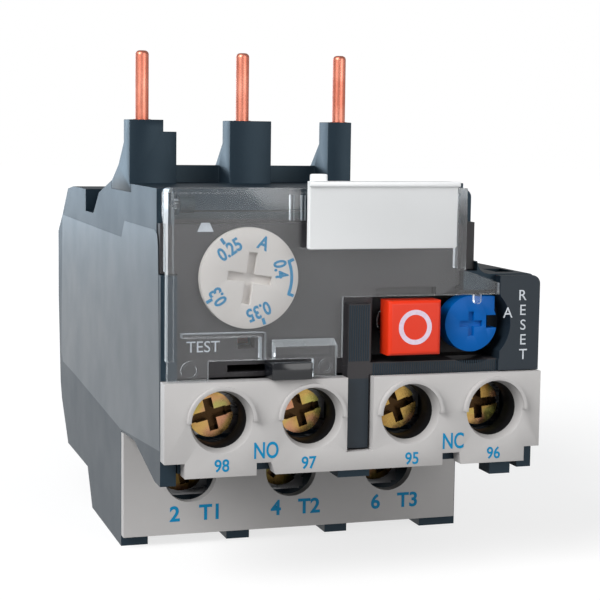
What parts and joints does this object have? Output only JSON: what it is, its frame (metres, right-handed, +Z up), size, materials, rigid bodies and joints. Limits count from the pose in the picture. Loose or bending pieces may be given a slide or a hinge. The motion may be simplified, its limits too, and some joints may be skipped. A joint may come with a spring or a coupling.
{
  "type": "thermal overload relay",
  "caption": "Plug-on thermal overload relay with top load pins, front setting dial under a hinged clear cover, stop and reset buttons, and screw terminals.",
  "frame": {"origin": "under the middle of the relay, at the level of its feet", "axes": "+X to the right seen from the front, +Y to the back, +Z up along the load pins"},
  "size_m": [0.045, 0.0764, 0.0612],
  "materials": {
    "dark_plastic": "matt moulded dark blue-grey plastic",
    "face_plastic": "matt moulded dark grey plastic",
    "gloss_black": "glossy moulded black plastic",
    "copper": "bright drawn copper",
    "heater_wire": "drawn resistance alloy wire",
    "bimetal": "rolled bimetal sheet",
    "tinned_metal": "tinned copper alloy",
    "zinc_yellow": "yellow zinc-plated steel",
    "zinc_washer": "zinc-plated steel",
    "grey_plastic": "matt moulded light grey plastic",
    "clear_plastic": "clear moulded plastic",
    "white_plastic": "smooth white plastic",
    "dial_plastic": "matt warm grey plastic",
    "red_plastic": "satin red plastic",
    "blue_plastic": "satin blue plastic",
    "spring_steel": "spring steel",
    "inner_plastic": "matt natural plastic",
    "bridge_brass": "stamped brass",
    "flag_plastic": "matt red plastic"
  },
  "bodies": {
    "relay": {"main_housing": "dark_plastic", "pin_block": "dark_plastic", "load_pin_1": "copper", "load_pin_2": "copper", "load_pin_3": "copper", "input_lead_1": "copper", "input_lead_2": "copper", "input_lead_3": "copper", "heater_winding_1": "heater_wire", "heater_winding_2": "heater_wire", "heater_winding_3": "heater_wire", "bimetal_strip_1": "bimetal", "bimetal_strip_2": "bimetal", "bimetal_strip_3": "bimetal", "output_bar_1": "tinned_metal", "output_bar_2": "tinned_metal", "output_bar_3": "tinned_metal", "power_screws": "zinc_yellow", "power_washers": "zinc_washer", "power_cover": "grey_plastic", "aux_block": "grey_plastic", "contact_base": "dark_plastic", "aux_screws": "zinc_yellow", "aux_washers": "zinc_washer", "terminal_98": "tinned_metal", "terminal_97": "tinned_metal", "terminal_95": "tinned_metal", "terminal_96": "tinned_metal", "front_housing": "face_plastic", "stop_spring": "spring_steel", "reset_spring": "spring_steel", "lever_pivot": "spring_steel"},
    "cover": {"clear_cover": "clear_plastic", "marker_tag": "white_plastic"},
    "dial": {"current_dial": "dial_plastic"},
    "stop": {"stop_button": "red_plastic"},
    "reset_stem": {"reset_plunger": "blue_plastic"},
    "reset_top": {"reset_knob": "blue_plastic"},
    "test": {"test_slide": "gloss_black"},
    "slider": {"trip_slider": "inner_plastic"},
    "differential": {"differential_slider": "inner_plastic"},
    "lever": {"compensation_lever": "inner_plastic", "compensation_strip": "bimetal"},
    "contacts": {"contact_carrier": "inner_plastic", "nc_bridge": "bridge_brass", "no_bridge": "bridge_brass"},
    "flag": {"trip_flag": "flag_plastic"}
  },
  "joints": [
    {"name": "cover_hinge", "type": "hinge", "parent": "relay", "child": "cover", "pos_m": [-0.0045, -0.03415, 0.0438], "axis": [-1, 0, 0], "range_deg": [0, 80]},
    {"name": "dial_turn", "type": "hinge", "parent": "relay", "child": "dial", "pos_m": [-0.0126, -0.03455, 0.0356], "axis": [0, 1, 0], "range_deg": [0, 233]},
    {"name": "stop_push", "type": "slide", "parent": "relay", "child": "stop", "axis": [0, 1, 0], "range_m": [0, 0.0018], "stiffness_N_per_m": 800, "springref_m": -0.0005, "deforming": ["stop_spring"]},
    {"name": "reset_push", "type": "slide", "parent": "relay", "child": "reset_stem", "axis": [0, 1, 0], "range_m": [0, 0.0015], "stiffness_N_per_m": 800, "springref_m": -0.0005, "deforming": ["reset_spring"]},
    {"name": "reset_turn", "type": "hinge", "parent": "reset_stem", "child": "reset_top", "pos_m": [0.0141, -0.03455, 0.0299], "axis": [0, 1, 0], "range_deg": [0, 90]},
    {"name": "test_push", "type": "slide", "parent": "relay", "child": "test", "axis": [-1, 0, 0], "range_m": [0, 0.004]},
    {"name": "trip_slide", "type": "slide", "parent": "relay", "child": "slider", "axis": [1, 0, 0], "range_m": [0, 0.0015]},
    {"name": "differential_slide", "type": "slide", "parent": "relay", "child": "differential", "axis": [1, 0, 0], "range_m": [0, 0.0015]},
    {"name": "lever_swing", "type": "hinge", "parent": "relay", "child": "lever", "pos_m": [0.011, -0.02475, 0.035], "axis": [0, 0, -1], "range_deg": [0, 17]},
    {"name": "contact_throw", "type": "slide", "parent": "relay", "child": "contacts", "axis": [0, -1, 0], "range_m": [0, 0.001]},
    {"name": "flag_slide", "type": "slide", "parent": "relay", "child": "flag", "axis": [1, 0, 0], "range_m": [0, 0.0018]}
  ],
  "couplings": [
    {"joint": "differential_slide", "follows": "trip_slide", "ratio": 1},
    {"joint": "lever_swing", "follows": "trip_slide", "rad_per_m": 197.8},
    {"joint": "contact_throw", "follows": "trip_slide", "ratio": 0.6666},
    {"joint": "flag_slide", "follows": "trip_slide", "ratio": 1.2}
  ]
}
